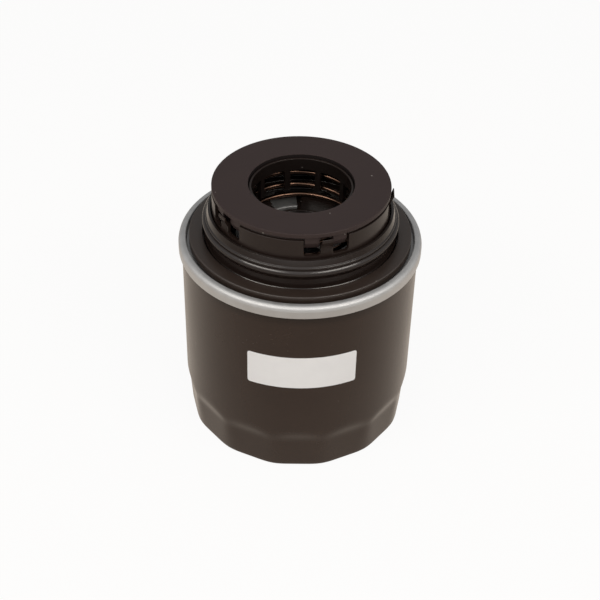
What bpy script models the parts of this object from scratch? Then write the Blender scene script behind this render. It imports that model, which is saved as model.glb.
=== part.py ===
# Spin-on oil filter with a spring-loaded sealing neck, standing on its closed end.
# Metres, +Z up, axis on Z, origin at the centre of the base. The photographed front is -Y.
import math

import bmesh
import bpy
import numpy as np
from mathutils import Matrix

# Clearances
FIT_GAP = 0.0003            # between pieces that rest on or next to each other
SLIDE_GAP = 0.0003          # between the sliding sleeve and its collar
SNAP_GAP = 0.00035          # round the snap tabs in their windows

# Can
CAN_RADIUS = 0.0380
CAN_WALL = 0.0007
BODY_HEIGHT = 0.0692        # base to the crown of the rolled seam
FLAT_COUNT = 14
FLAT_DEPTH = 0.0012         # cylinder to the middle of a flat
FLAT_HEIGHT = 0.0130
FLAT_RUNOUT = 0.35          # outward slope at the upper end of a flat
FLAT_TURN = math.radians(1.3)
BASE_FILLET = 0.0025
DISH_DEPTH = 0.0012
DISH_INSET = 0.0084         # base fillet to the edge of the dish
DISH_SLOPE = 0.0040

# Rolled seam and lid
SHEET = 0.0006
SEAM_OVERHANG = 0.00106     # seam beyond the can wall
SEAM_HEIGHT = 0.0042
SEAM_DEPTH = 0.0021         # crown down to the gasket floor
SEAM_ROUND = 0.0009
TONGUE_COUNT = 5
TONGUE_ANGLE = math.radians(28)
TONGUE_LENGTH = 0.0065
TONGUE_PHASE = math.radians(54.8)

# Flange gasket
GASKET_GROOVE = 0.0008      # gasket to the inner wall of the seam
GASKET_WIDTH = 0.0044
GASKET_STAND = 0.0013       # gasket face above the crown

# Threaded plate
PLATE_THICKNESS = 0.0040
THREAD_BORE = 0.0089
BOSS_WALL = 0.0036
BOSS_DEPTH = 0.0052
INLET_COUNT = 10
INLET_RADIUS = 0.0023
INLET_CIRCLE = 0.0240
PLATE_HOLE_EXTRA = 0.0002

# Neck collar
STEM_HOLE = 0.0146
FLOOR_THICKNESS = 0.0009
PAD_HEIGHT = 0.0022
PAD_RADIAL = 0.0035
PAD_HALF_ANGLE = math.radians(19)
NECK_WALL = 0.0009
NECK_HEIGHT = 0.0124        # gasket floor to the rim of the collar
LIP_HEIGHT = 0.0029
FOOT_FLARE = 0.0007
BEAD_DEPTH = 0.0011
RIM_WIDTH = 0.0010
RIM_HEIGHT = 0.0023         # top of the collar to the edge of its rim
RIM_GROOVE = 0.0005         # edge of the rim to the bead
STROKE = 0.0030
O_RING_WIRE = 0.0006

# Sliding sleeve
FLANGE_OUT = 0.0009
FLANGE_THICKNESS = 0.0011
SLEEVE_WALL = 0.0011
SLEEVE_HEIGHT = 0.0112      # flange to the top of the web
WEB_THICKNESS = 0.0008
RIM_STAND = 0.0007          # inner rim above the web
RIM_THICKNESS = 0.0007
LEG_COUNT = 10
LEG_ANGLE = math.radians(6.8)
LEG_LENGTH = 0.0102
LEG_THICKNESS = 0.0013
TUBE_DEPTH = 0.0027
GROUP_COUNT = 5
GROUP_PHASE = math.radians(16.8)
WINDOW_OFFSET = math.radians(9.2)
WINDOW_WIDTH = 0.0052
WINDOW_SILL = 0.0051        # flange to the sill of a window
WINDOW_CORNER = 0.0007
SHOULDER_WIDTH = 0.0009     # step round the top of the sleeve, under the ring
SHOULDER_DROP = 0.0006
FINGER_WIDTH = 0.0035
FINGER_LENGTH = 0.0035
FINGER_ROOT = 0.0013        # stretch of a finger that grows out of the wall
FINGER_LEAN = 0.00105
FINGER_DROP = 0.0002        # tip of a finger below the web
FINGER_THICKNESS = 0.0007

# Sealing ring
RING_BORE = 0.0167
RING_THICKNESS = 0.0015
RING_EDGE = 0.0003
TAB_SETBACK = 0.0009        # outer edge of the ring to a tab
TAB_DROP = 0.0025           # straight part of a tab below the ring
HOOK_DROP = 0.0022
TAB_THICKNESS = 0.00095
BARB = 0.00095

# Seal spring
SPRING_WIRE = 0.0008
SPRING_TURNS = 3.7
SPRING_START = math.radians(59)
SPRING_CLEAR = 0.0008       # wire to the legs
END_TURN = 0.25             # share of a turn that lies flat at each end of a spring
EASE_TURN = 0.5             # share of a turn over which its pitch grows
END_RISE = 0.06             # rise of an end turn beside the free turns
NEXT_TURN = 0.6             # share of a turn beyond which the wire is measured against itself

# Filter element
ELEMENT_GAP = 0.0023        # element to the can's flats
CAP_SHEET = 0.0006
CAP_RIM = 0.0030
CAP_BORE = 0.0120
TUBE_RADIUS = 0.0164
TUBE_WALL = 0.0008
TUBE_COLUMNS = 6
TUBE_ROWS = 3
TUBE_HOLE = 0.0024
PLEAT_COUNT = 26
PLEAT_PAPER = 0.0008
PLEAT_FOLD = 0.0005         # half the width of a fold
MITRE_LIMIT = 0.4
CLIP_SHEET = 0.0004
CLIP_DEPTH = 0.0040

# Anti-drain valve
VALVE_COLLAR = 0.0020
VALVE_SKIRT = 0.0010
VALVE_REACH = 0.0050        # lip beyond the inlet circle

# Bypass valve
BYPASS_PORT = 0.0050
BYPASS_SEAT = 0.0025        # overlap of the seal round the port
SEAL_THICKNESS = 0.0012
POPPET_THICKNESS = 0.0008
STEM_RADIUS = 0.0024
STEM_LENGTH = 0.0105
BYPASS_WIRE = 0.0005
BYPASS_COIL = 0.0045
BYPASS_TURNS = 4.5
BYPASS_LENGTH = 0.0125
CAGE_SHEET = 0.0006
CAGE_GAP = 0.0012
CAGE_WINDOWS = 3
CAGE_FLANGE = 0.0022
CAGE_WINDOW_TURN = 0.66     # share of its sector that a window takes
CAGE_WINDOW_RISE = 0.7      # share of the cage's height

# Element spring
LEAF_SHEET = 0.0006
LEAF_HEIGHT = 0.0094
LEAF_HOLE = 0.0070
LEAF_RING = 0.0055
LEAF_FOOT = 0.0030
LEAF_CURL = 0.0004          # upturn of a foot's edge
LEAF_COUNT = 4
LEAF_ANGLE = math.radians(34)

# Facets
CAN_FACETS = 4 * FLAT_COUNT
ROUND = 40
HIDDEN = 28
SMALL = 18
SHARP = math.radians(24)     # edges that turn more than this stay crisp


for leftover in list(bpy.data.objects):
    bpy.data.objects.remove(leftover, do_unlink=True)

part = bpy.data.collections.new("oil_filter")
tools = bpy.data.collections.new("cutters")
bpy.context.scene.collection.children.link(part)
bpy.context.scene.collection.children.link(tools)


def empty(name, z):
    holder = bpy.data.objects.new(name, None)
    holder.location = (0.0, 0.0, z)
    part.objects.link(holder)
    return holder


def material(name, colour, roughness, metallic):
    made = bpy.data.materials.new(name)
    made.use_nodes = True
    shader = made.node_tree.nodes["Principled BSDF"]
    shader.inputs["Base Color"].default_value = (*colour, 1.0)
    shader.inputs["Roughness"].default_value = roughness
    shader.inputs["Metallic"].default_value = metallic
    return made


def place(name, data, look, parent=None):
    made = bpy.data.objects.new(name, data)
    data.materials.append(look)
    part.objects.link(made)
    if parent is not None:
        made.parent = parent
        made.matrix_parent_inverse = Matrix.Translation(-parent.location)
    return made


def turned(name, profile, steps, look, parent=None):
    mesh = bpy.data.meshes.new(name)
    last = len(profile)
    closed = profile[0][0] > 0.0
    edges = [(i, (i + 1) % last) for i in range(last if closed else last - 1)]
    mesh.from_pydata([(r, 0.0, z) for r, z in profile], edges, [])
    made = place(name, mesh, look, parent)
    screw = made.modifiers.new("turn", "SCREW")
    screw.axis = "Z"
    screw.angle = math.tau
    screw.steps = steps
    screw.render_steps = steps
    screw.use_merge_vertices = True
    screw.merge_threshold = 0.00001
    screw.use_smooth_shade = True
    return made


def outline_mesh(points, depth):
    # A flat outline, thickened evenly to both sides of its plane.
    curve = bpy.data.curves.new("outline", "CURVE")
    curve.dimensions = "2D"
    curve.fill_mode = "BOTH"
    curve.extrude = depth / 2
    spline = curve.splines.new("POLY")
    spline.points.add(len(points) - 1)
    for point, (u, v) in zip(spline.points, points):
        point.co = (u, v, 0.0, 1.0)
    spline.use_cyclic_u = True
    holder = bpy.data.objects.new("outline", curve)
    tools.objects.link(holder)
    graph = bpy.context.evaluated_depsgraph_get()
    mesh = bpy.data.meshes.new_from_object(holder.evaluated_get(graph))
    bpy.data.objects.remove(holder, do_unlink=True)
    bpy.data.curves.remove(curve)
    welded = bmesh.new()
    welded.from_mesh(mesh)
    bmesh.ops.remove_doubles(welded, verts=welded.verts, dist=0.000001)
    bmesh.ops.recalc_face_normals(welded, faces=welded.faces)
    welded.to_mesh(mesh)
    welded.free()
    return mesh


def copies(name, mesh, spots):
    # One hidden tool made of a copy of the mesh at each spot.
    gathered = bmesh.new()
    for spot in spots:
        moved = mesh.copy()
        moved.transform(spot)
        gathered.from_mesh(moved)
        bpy.data.meshes.remove(moved)
    joined = bpy.data.meshes.new(name)
    gathered.to_mesh(joined)
    gathered.free()
    made = bpy.data.objects.new(name, joined)
    made.hide_render = True
    made.display_type = "WIRE"
    tools.objects.link(made)
    return made


def drills(name, radius, low, high, spots, sides=8):
    drill = bmesh.new()
    bmesh.ops.create_cone(drill, cap_ends=True, segments=sides, radius1=radius, radius2=radius,
                          depth=high - low)
    mesh = bpy.data.meshes.new(name)
    drill.to_mesh(mesh)
    drill.free()
    return copies(name, mesh, spots)


def apply_tool(made, tool, operation):
    step = made.modifiers.new(tool.name, "BOOLEAN")
    step.operation = operation
    step.solver = "EXACT"
    step.object = tool


def around(count, phase=0.0):
    # Angles are counted from the front (-Y), positive to the right (+X).
    return [phase + math.tau * i / count - math.pi / 2 for i in range(count)]


def turn(angle):
    return Matrix.Rotation(angle, 4, "Z")


def flat_spots(angles, z, radius=0.0):
    # Outlines drawn in plan, radius along local X.
    return [turn(angle) @ Matrix.Translation((radius, 0.0, z)) for angle in angles]


def upright_spots(angles):
    # Outlines drawn as radius and height, thickened along the tangent.
    return [turn(angle) @ Matrix.Rotation(math.pi / 2, 4, "X") for angle in angles]


def facing_spots(angles, radius):
    # Outlines drawn as tangent and height, thickened along the radius.
    face = Matrix(((0, 0, 1, 0), (1, 0, 0, 0), (0, 1, 0, 0), (0, 0, 0, 1)))
    return [turn(angle) @ Matrix.Translation((radius, 0.0, 0.0)) @ face for angle in angles]


def sector(inner, outer, half_angle, count=6):
    sweep = [half_angle * (2 * i / count - 1) for i in range(count + 1)]
    far = [(outer * math.cos(a), outer * math.sin(a)) for a in sweep]
    near = [(inner * math.cos(a), inner * math.sin(a)) for a in reversed(sweep)]
    return far + near


def arc(centre, radius, first, last, count):
    # Points of an arc in the profile plane, angles in degrees.
    angles = np.radians(np.linspace(first, last, count))
    return [(centre[0] + radius * math.cos(a), centre[1] + radius * math.sin(a)) for a in angles]


def lofted(name, rings, centres, look):
    # A skin over rings of equal count, closed by a point at each end of the chain.
    mesh = bpy.data.meshes.new(name)
    built = bmesh.new()
    rows = [[built.verts.new(point) for point in ring] for ring in rings]
    count = len(rings[0])
    for upper, lower in zip(rows, rows[1:] + rows[:1]):
        if upper is rows[centres]:
            continue
        for i in range(count):
            j = (i + 1) % count
            built.faces.new((upper[i], lower[i], lower[j], upper[j]))
    for row, flip in ((rows[centres], False), (rows[centres + 1], True)):
        middle = built.verts.new((0.0, 0.0, row[0].co.z))
        for i in range(count):
            j = (i + 1) % count
            built.faces.new((row[j], row[i], middle) if flip else (row[i], middle, row[j]))
    bmesh.ops.recalc_face_normals(built, faces=built.faces)
    built.to_mesh(mesh)
    built.free()
    mesh.shade_smooth()
    mesh.set_sharp_from_angle(angle=SHARP)
    return place(name, mesh, look)


def coil(name, radius, wire, low, high, turns, start, per_turn, look, parent=None):
    # A right-handed compression spring whose pitch eases to flat end turns.
    count = int(round(turns * per_turn)) + 1
    along = np.linspace(0.0, turns, count)
    rise = np.clip((np.minimum(along, turns - along) - END_TURN) / EASE_TURN, END_RISE, 1.0)
    heights = np.concatenate(([0.0], np.cumsum((rise[1:] + rise[:-1]) / 2)))
    heights = low + (high - low) * heights / heights[-1]
    angles = start - math.pi / 2 + along * math.tau
    points = np.column_stack((radius * np.cos(angles), radius * np.sin(angles), heights))
    reach = int(NEXT_TURN * per_turn)
    apart = [np.linalg.norm(points[i + reach:] - points[i], axis=1).min()
             for i in range(count - reach)]
    print(name, "least gap between turns, mm:", round((min(apart) - 2 * wire) * 1000, 2))
    curve = bpy.data.curves.new(name, "CURVE")
    curve.dimensions = "3D"
    curve.bevel_depth = wire
    curve.bevel_resolution = 1
    curve.use_fill_caps = True
    spline = curve.splines.new("POLY")
    spline.points.add(count - 1)
    for point, (x, y, z) in zip(spline.points, points):
        point.co = (x, y, z, 1.0)
    return place(name, curve, look, parent)


# Looks
paint = material("can_paint", (0.030, 0.022, 0.018), 0.34, 0.0)
zinc = material("zinc_steel", (0.62, 0.62, 0.63), 0.34, 1.0)
plate_steel = material("plate_steel", (0.45, 0.45, 0.46), 0.42, 1.0)
gasket_rubber = material("gasket_rubber", (0.012, 0.011, 0.011), 0.45, 0.0)
collar_plastic = material("collar_plastic", (0.016, 0.013, 0.011), 0.38, 0.0)
sleeve_plastic = material("sleeve_plastic", (0.020, 0.016, 0.013), 0.42, 0.0)
ring_plastic = material("ring_plastic", (0.024, 0.020, 0.017), 0.60, 0.0)
spring_wire = material("spring_wire", (0.30, 0.20, 0.13), 0.30, 1.0)
o_ring_rubber = material("o_ring_rubber", (0.014, 0.013, 0.013), 0.50, 0.0)
valve_rubber = material("valve_rubber", (0.300, 0.050, 0.030), 0.55, 0.0)
cap_steel = material("cap_steel", (0.50, 0.50, 0.51), 0.40, 1.0)
tube_steel = material("tube_steel", (0.48, 0.48, 0.49), 0.40, 1.0)
pleat_paper = material("pleat_paper", (0.62, 0.50, 0.30), 0.85, 0.0)
clip_steel = material("clip_steel", (0.55, 0.55, 0.56), 0.35, 1.0)
bypass_steel = material("bypass_steel", (0.50, 0.50, 0.52), 0.35, 1.0)
leaf_steel = material("leaf_steel", (0.28, 0.29, 0.31), 0.38, 1.0)

# Radii, worked from the can wall inwards
can_bore = CAN_RADIUS - CAN_WALL
seam_outer = CAN_RADIUS + SEAM_OVERHANG
seam_inner = can_bore - FIT_GAP - SHEET
gasket_outer = seam_inner - GASKET_GROOVE
gasket_inner = gasket_outer - GASKET_WIDTH
foot_radius = gasket_inner - FIT_GAP
waist_radius = foot_radius - FOOT_FLARE
collar_bore = waist_radius - NECK_WALL
flange_radius = collar_bore - SLIDE_GAP
sleeve_radius = flange_radius - FLANGE_OUT
sleeve_bore = sleeve_radius - SLEEVE_WALL
lip_radius = sleeve_radius + SLIDE_GAP
rim_outer = RING_BORE - SNAP_GAP
rim_inner = rim_outer - RIM_THICKNESS
leg_outer = rim_inner + LEG_THICKNESS
spring_radius = leg_outer + SPRING_CLEAR + SPRING_WIRE

# Heights, worked from the seam
lid_top = BODY_HEIGHT - SEAM_DEPTH
lid_bottom = lid_top - SHEET
gasket_top = BODY_HEIGHT + GASKET_STAND
plate_top = lid_bottom - FIT_GAP
plate_bottom = plate_top - PLATE_THICKNESS
boss_bottom = plate_bottom - BOSS_DEPTH
collar_bottom = lid_top + FIT_GAP
floor_top = collar_bottom + FLOOR_THICKNESS
tongue_bottom = floor_top + FIT_GAP
tongue_top = tongue_bottom + SHEET
collar_top = lid_top + NECK_HEIGHT
lip_bottom = collar_top - LIP_HEIGHT
flange_top = lip_bottom - FIT_GAP
flange_bottom = flange_top - FLANGE_THICKNESS
stop_top = flange_bottom - STROKE - FIT_GAP
web_top = flange_bottom + SLEEVE_HEIGHT
web_bottom = web_top - WEB_THICKNESS
pad_top = floor_top + PAD_HEIGHT
ring_bottom = web_top + FIT_GAP
ring_top = ring_bottom + RING_THICKNESS


# Can: a drawn steel cup with wrench flats round its closed end
def can_ring(inset, z, level, wall=0.0):
    # One ring of the can; level is the height that sets how far the flats have run out.
    flat = CAN_RADIUS - FLAT_DEPTH + max(0.0, level - FLAT_HEIGHT) * FLAT_RUNOUT
    half = math.pi / FLAT_COUNT
    points = []
    for i in range(CAN_FACETS):
        angle = math.tau * i / CAN_FACETS
        across = (angle + half) % (2 * half) - half
        radius = min(CAN_RADIUS, flat / math.cos(across)) - inset - wall
        turned_to = angle + FLAT_TURN - math.pi / 2
        points.append((radius * math.cos(turned_to), radius * math.sin(turned_to), z))
    return points


def round_ring(radius, z):
    return [(radius * math.cos(a), radius * math.sin(a), z)
            for a in (math.tau * i / CAN_FACETS + FLAT_TURN - math.pi / 2 for i in range(CAN_FACETS))]


runout_top = FLAT_HEIGHT + FLAT_DEPTH / FLAT_RUNOUT
can_top = BODY_HEIGHT - SHEET - FIT_GAP
dish_edge = CAN_RADIUS - FLAT_DEPTH - BASE_FILLET - DISH_INSET
levels = [runout_top - i * (runout_top - FLAT_HEIGHT) / 3 for i in range(4)] + [BASE_FILLET]
bend = [math.radians(45 * i) for i in (1, 2)]
inner_fillet = BASE_FILLET - CAN_WALL
outside = [can_ring(0.0, can_top, can_top)] + [can_ring(0.0, z, z) for z in levels]
outside += [can_ring(BASE_FILLET * (1 - math.cos(a)), BASE_FILLET * (1 - math.sin(a)), 0.0) for a in bend]
outside += [round_ring(dish_edge, 0.0), round_ring(dish_edge - DISH_SLOPE, DISH_DEPTH)]
inside = [round_ring(dish_edge - DISH_SLOPE, DISH_DEPTH + CAN_WALL), round_ring(dish_edge, CAN_WALL)]
inside += [can_ring(inner_fillet * (1 - math.cos(a)), CAN_WALL + inner_fillet * (1 - math.sin(a)), 0.0,
                    CAN_WALL) for a in reversed(bend)]
inside += [can_ring(0.0, z, z, CAN_WALL) for z in reversed(levels[::3] + levels[-1:])]
inside += [can_ring(0.0, can_top, can_top, CAN_WALL)]
lofted("can", outside + inside, len(outside) - 1, paint)

# Lid: a pressed sheet rolled over the can's edge, with tongues folded over the collar's floor
roll_outer = seam_outer - SHEET
tongue_inner = STEM_HOLE - FIT_GAP - SHEET
tongue_outer = tongue_inner + SHEET + TONGUE_LENGTH
hook_inner = CAN_RADIUS + FIT_GAP
seam_bottom = BODY_HEIGHT - SEAM_HEIGHT
crown = arc((seam_inner + SEAM_ROUND, BODY_HEIGHT - SEAM_ROUND), SEAM_ROUND, 180, 90, 3)
crown += arc((seam_outer - SEAM_ROUND, BODY_HEIGHT - SEAM_ROUND), SEAM_ROUND, 90, 0, 3)
under = arc((roll_outer - SEAM_ROUND / 2, BODY_HEIGHT - SHEET - SEAM_ROUND / 2), SEAM_ROUND / 2, 0, 90, 2)
lid_profile = [(tongue_inner, tongue_top - SHEET / 2), (tongue_inner + SHEET / 3, tongue_top),
               (tongue_outer, tongue_top), (tongue_outer, tongue_bottom),
               (tongue_inner + SHEET, tongue_bottom), (tongue_inner + SHEET, lid_top),
               (seam_inner, lid_top)]
lid_profile += crown
lid_profile += [(seam_outer, seam_bottom + SHEET / 2), (seam_outer - SHEET / 2, seam_bottom),
                (hook_inner, seam_bottom), (roll_outer, seam_bottom + SHEET)]
lid_profile += under
lid_profile += [(seam_inner + SHEET, BODY_HEIGHT - SHEET), (seam_inner + SHEET, lid_bottom),
                (tongue_inner, lid_bottom)]
lid = turned("seaming_lid", lid_profile, ROUND, zinc)
tongue_gap = math.pi / TONGUE_COUNT - TONGUE_ANGLE / 2
tongue_cut = outline_mesh(sector(tongue_inner - FIT_GAP, tongue_outer + FIT_GAP, tongue_gap),
                          tongue_top - lid_top)
between_tongues = around(TONGUE_COUNT, TONGUE_PHASE + math.pi / TONGUE_COUNT)
tongue_cut_z = (lid_top + tongue_top) / 2 + SHEET / 2
apply_tool(lid, copies("tongue_gaps", tongue_cut, flat_spots(between_tongues, tongue_cut_z)), "DIFFERENCE")
inlet_spots = around(INLET_COUNT, GROUP_PHASE)
apply_tool(lid, drills("lid_inlets", INLET_RADIUS, lid_bottom - SHEET, lid_top + SHEET,
                       flat_spots(inlet_spots, (lid_top + lid_bottom) / 2, INLET_CIRCLE)), "DIFFERENCE")

# Threaded plate: carries the mounting thread in a boss, with the ring of inlet holes
plate_radius = can_bore - FIT_GAP
boss_radius = THREAD_BORE + BOSS_WALL
bevel = FIT_GAP * 2
plate = turned("threaded_plate", [
    (THREAD_BORE + bevel, plate_top), (plate_radius - bevel, plate_top), (plate_radius, plate_top - bevel),
    (plate_radius, plate_bottom), (boss_radius + bevel, plate_bottom), (boss_radius, plate_bottom - bevel),
    (boss_radius, boss_bottom), (THREAD_BORE + bevel, boss_bottom), (THREAD_BORE, boss_bottom + bevel),
    (THREAD_BORE, plate_top - bevel)], HIDDEN, plate_steel)
plate_hole = INLET_RADIUS + PLATE_HOLE_EXTRA
plate_spots = flat_spots(inlet_spots, (plate_top + plate_bottom) / 2, INLET_CIRCLE)
plate_drills = drills("plate_inlets", plate_hole, plate_bottom - SHEET, plate_top + SHEET, plate_spots)
apply_tool(plate, plate_drills, "DIFFERENCE")

# Flange gasket: a flat-faced rubber ring in the lid's channel
edge = GASKET_WIDTH / 9
turned("flange_gasket", [
    (gasket_inner + edge, gasket_top), (gasket_outer - edge, gasket_top), (gasket_outer, gasket_top - edge),
    (gasket_outer, lid_top + FIT_GAP), (gasket_inner, lid_top + FIT_GAP), (gasket_inner, gasket_top - edge),
], ROUND, gasket_rubber)

# Neck collar: a moulded cup that guides the sleeve, with a seat for the spring
foot_bore = sleeve_bore
o_ring_radius = (foot_radius + foot_bore) / 2
o_ring_half = O_RING_WIRE + FIT_GAP
o_ring_roof = collar_bottom + 2 * o_ring_half
rim_edge = collar_top - RIM_HEIGHT
bead_z = rim_edge - RIM_GROOVE - BEAD_DEPTH
waist_low = gasket_top - FOOT_FLARE
collar_profile = [(lip_radius, collar_top), (lip_radius + RIM_WIDTH, collar_top), (waist_radius, rim_edge),
                  (waist_radius - RIM_GROOVE / 3, rim_edge - RIM_GROOVE)]
collar_profile += arc((waist_radius, bead_z), BEAD_DEPTH, 75, -75, 6)
collar_profile += [
    (waist_radius, bead_z - 1.3 * BEAD_DEPTH), (waist_radius, waist_low),
    (foot_radius, waist_low - FOOT_FLARE), (foot_radius, collar_bottom),
    (o_ring_radius + o_ring_half, collar_bottom),
    (o_ring_radius + o_ring_half, o_ring_roof), (o_ring_radius - o_ring_half, o_ring_roof),
    (o_ring_radius - o_ring_half, collar_bottom), (STEM_HOLE, collar_bottom), (STEM_HOLE, floor_top),
    (foot_bore, floor_top), (foot_bore, stop_top), (collar_bore, stop_top), (collar_bore, lip_bottom),
    (lip_radius, lip_bottom)]
collar = turned("neck_collar", collar_profile, ROUND, collar_plastic)
pad_depth = PAD_HEIGHT + FLOOR_THICKNESS / 2
pad = outline_mesh(sector(leg_outer, leg_outer + PAD_RADIAL, PAD_HALF_ANGLE), pad_depth)
pad_z = pad_top - pad_depth / 2
apply_tool(collar, copies("spring_pads", pad, flat_spots(around(TONGUE_COUNT, GROUP_PHASE), pad_z)), "UNION")
floor_spots = flat_spots(inlet_spots, (collar_bottom + floor_top) / 2, INLET_CIRCLE)
floor_drills = drills("floor_inlets", INLET_RADIUS, collar_bottom - SHEET, floor_top + SHEET, floor_spots)
apply_tool(collar, floor_drills, "DIFFERENCE")

# O-ring under the collar's foot
turned("neck_o_ring", arc((o_ring_radius, collar_bottom + o_ring_half), O_RING_WIRE, 90, -210, 6),
       HIDDEN, o_ring_rubber)

# Sliding sleeve: piston wall with snap windows, web, inner rim and a cage of legs
slide = empty("seal_slide", flange_bottom)
shoulder_inner = sleeve_radius - SHOULDER_WIDTH
shoulder_top = web_top - SHOULDER_DROP
sleeve = turned("valve_sleeve", [
    (rim_inner, web_top + RIM_STAND), (rim_outer, web_top + RIM_STAND), (rim_outer, web_top),
    (shoulder_inner, web_top), (shoulder_inner, shoulder_top), (sleeve_radius, shoulder_top),
    (sleeve_radius, flange_top), (flange_radius, flange_top),
    (flange_radius, flange_bottom), (sleeve_bore, flange_bottom), (sleeve_bore, web_bottom),
    (leg_outer, web_bottom), (leg_outer, web_bottom - LEG_LENGTH), (rim_inner, web_bottom - LEG_LENGTH)],
    ROUND, sleeve_plastic, slide)
gap_half = math.pi / LEG_COUNT - LEG_ANGLE / 2
gap_height = LEG_LENGTH - TUBE_DEPTH
leg_gap = outline_mesh(sector(rim_inner - LEG_THICKNESS, leg_outer + SPRING_CLEAR, gap_half), gap_height * 2)
between_legs = around(LEG_COUNT, GROUP_PHASE + math.pi / LEG_COUNT)
leg_bottom = web_bottom - LEG_LENGTH
apply_tool(sleeve, copies("leg_gaps", leg_gap, flat_spots(between_legs, leg_bottom)), "DIFFERENCE")
sill = flange_bottom + WINDOW_SILL
half_window = WINDOW_WIDTH / 2
corner_spot = half_window - WINDOW_CORNER
window = arc((corner_spot, sill + WINDOW_CORNER), WINDOW_CORNER, 0, -90, 3)
window += arc((-corner_spot, sill + WINDOW_CORNER), WINDOW_CORNER, -90, -180, 3)
window += [(-half_window, ring_top), (half_window, ring_top)]
tab_outer = sleeve_radius - TAB_SETBACK
tab_inner = tab_outer - TAB_THICKNESS
notch_inner = tab_inner - SNAP_GAP
window_depth = sleeve_radius + SLEEVE_WALL - notch_inner
window_angles = around(GROUP_COUNT, GROUP_PHASE - WINDOW_OFFSET)
window_angles += around(GROUP_COUNT, GROUP_PHASE + WINDOW_OFFSET)
apply_tool(sleeve, copies("snap_windows", outline_mesh(window, window_depth),
                          facing_spots(window_angles, notch_inner + window_depth / 2)), "DIFFERENCE")
finger_low = web_top - FINGER_LENGTH
finger_root = finger_low + FINGER_ROOT
finger_top = web_top - FINGER_DROP
finger_out = sleeve_radius + FINGER_LEAN
room_depth = ring_top - finger_root
finger_room = outline_mesh(sector(sleeve_bore - FIT_GAP / 3, finger_out, WINDOW_OFFSET), room_depth)
finger_angles = around(GROUP_COUNT, GROUP_PHASE)
room_spots = flat_spots(finger_angles, finger_root + room_depth / 2)
apply_tool(sleeve, copies("finger_rooms", finger_room, room_spots), "DIFFERENCE")
finger = [(sleeve_radius - SLEEVE_WALL / 2, finger_low), (sleeve_radius - FIT_GAP / 4, finger_low),
          (finger_out, finger_top - FINGER_THICKNESS), (finger_out - FINGER_THICKNESS / 3, finger_top),
          (finger_out - FINGER_THICKNESS * 2 / 3, finger_top),
          (sleeve_radius + FIT_GAP / 4, finger_root + FIT_GAP / 2),
          (sleeve_radius - SLEEVE_WALL / 2, finger_root + FIT_GAP / 4)]
finger_mesh = outline_mesh(finger, FINGER_WIDTH)
apply_tool(sleeve, copies("leaning_fingers", finger_mesh, upright_spots(finger_angles)), "UNION")

# Sealing ring: flat annulus snapped on the sleeve by ten hooked tabs
ring = turned("sealing_ring", [
    (RING_BORE + RING_EDGE, ring_top), (sleeve_radius - RING_EDGE, ring_top),
    (sleeve_radius, ring_top - RING_EDGE), (sleeve_radius, ring_bottom), (RING_BORE, ring_bottom),
    (RING_BORE, ring_top - RING_EDGE)], ROUND, ring_plastic, slide)
tab_root = ring_bottom + RING_THICKNESS / 3
barb_top = web_bottom - SNAP_GAP
hook_low = ring_bottom - TAB_DROP - HOOK_DROP
tab_outline = [(tab_inner, tab_root), (tab_inner, barb_top), (tab_inner - BARB, barb_top),
               (tab_inner - BARB, barb_top - HOOK_DROP), (tab_inner - BARB / 2, hook_low),
               (tab_inner - SNAP_GAP / 2, hook_low), (tab_outer, ring_bottom - TAB_DROP),
               (tab_outer, tab_root)]
tab_width = WINDOW_WIDTH - 2 * SNAP_GAP
tab = outline_mesh(tab_outline, tab_width)
apply_tool(ring, copies("snap_tabs", tab, upright_spots(window_angles)), "UNION")

# Seal spring: stands on the collar's pads and pushes the sleeve up
coil("seal_spring", spring_radius, SPRING_WIRE, pad_top + FIT_GAP + SPRING_WIRE,
     web_bottom - FIT_GAP - SPRING_WIRE, SPRING_TURNS, SPRING_START, 20, spring_wire)

# Element spring: a stamped spider between the can's base and the element
element_radius = can_bore - FLAT_DEPTH - ELEMENT_GAP
leaf_floor = CAN_WALL + FIT_GAP
leaf_top = leaf_floor + LEAF_HEIGHT
foot_out = dish_edge + LEAF_FOOT
ring_out = LEAF_HOLE + LEAF_RING
leaf = turned("element_spring", [
    (LEAF_HOLE, leaf_top), (ring_out, leaf_top),
    (foot_out - LEAF_FOOT, leaf_floor + LEAF_SHEET + 2 * LEAF_CURL),
    (foot_out - LEAF_FOOT / 2, leaf_floor + LEAF_SHEET), (foot_out, leaf_floor + LEAF_SHEET + LEAF_CURL),
    (foot_out, leaf_floor + LEAF_CURL), (foot_out - LEAF_FOOT / 2, leaf_floor),
    (foot_out - LEAF_FOOT, leaf_floor + 2 * LEAF_CURL), (ring_out - LEAF_SHEET / 2, leaf_top - LEAF_SHEET),
    (LEAF_HOLE, leaf_top - LEAF_SHEET)], HIDDEN, leaf_steel)
leaf_sector = sector(ring_out + LEAF_SHEET, foot_out + LEAF_FOOT, math.pi / LEAF_COUNT - LEAF_ANGLE / 2)
leaf_gap = outline_mesh(leaf_sector, LEAF_HEIGHT * 2)
leaf_spots = flat_spots(around(LEAF_COUNT, math.pi / LEAF_COUNT), leaf_floor + LEAF_HEIGHT / 2)
apply_tool(leaf, copies("leaf_gaps", leaf_gap, leaf_spots), "DIFFERENCE")

# Lower end cap: a tray with the bypass port
lower_bottom = leaf_top + FIT_GAP
lower_floor = lower_bottom + CAP_SHEET
turned("lower_end_cap", [
    (element_radius - CAP_SHEET, lower_bottom + CAP_RIM), (element_radius, lower_bottom + CAP_RIM),
    (element_radius, lower_bottom), (BYPASS_PORT, lower_bottom), (BYPASS_PORT, lower_floor),
    (element_radius - CAP_SHEET, lower_floor)], HIDDEN, cap_steel)

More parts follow.
